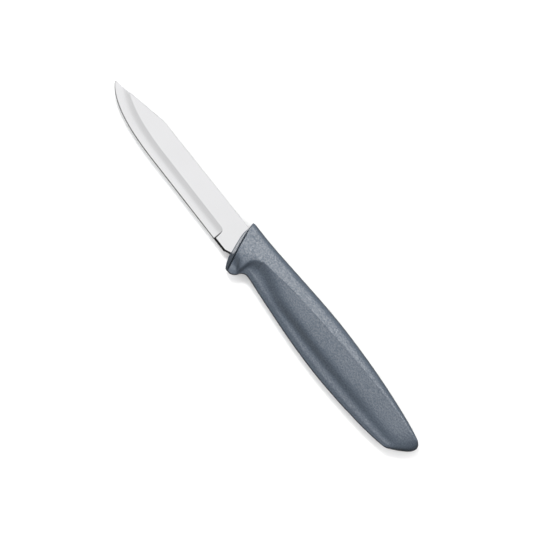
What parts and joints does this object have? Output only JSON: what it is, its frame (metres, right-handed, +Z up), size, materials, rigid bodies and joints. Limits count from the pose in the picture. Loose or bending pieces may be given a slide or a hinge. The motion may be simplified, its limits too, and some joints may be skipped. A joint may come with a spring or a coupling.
{
  "type": "vegetable knife",
  "caption": "Small vegetable knife with a clip-point, hollow-ground stainless blade, its tang hidden in a moulded grey plastic handle with a finger guard and coved sides.",
  "frame": {"origin": "bottom centre of the bounding box, with the knife lying on its side", "axes": "+X along the knife from the blade's tip towards the butt, +Y from the cutting edge towards the spine, +Z up, square to the blade's flat side"},
  "size_m": [0.18, 0.0212, 0.0136],
  "materials": {
    "steel": "fine satin polish",
    "plastic": "matt with a fine spark-eroded texture"
  },
  "bodies": {
    "root": {"blade": "steel", "handle": "plastic"}
  },
  "joints": []
}
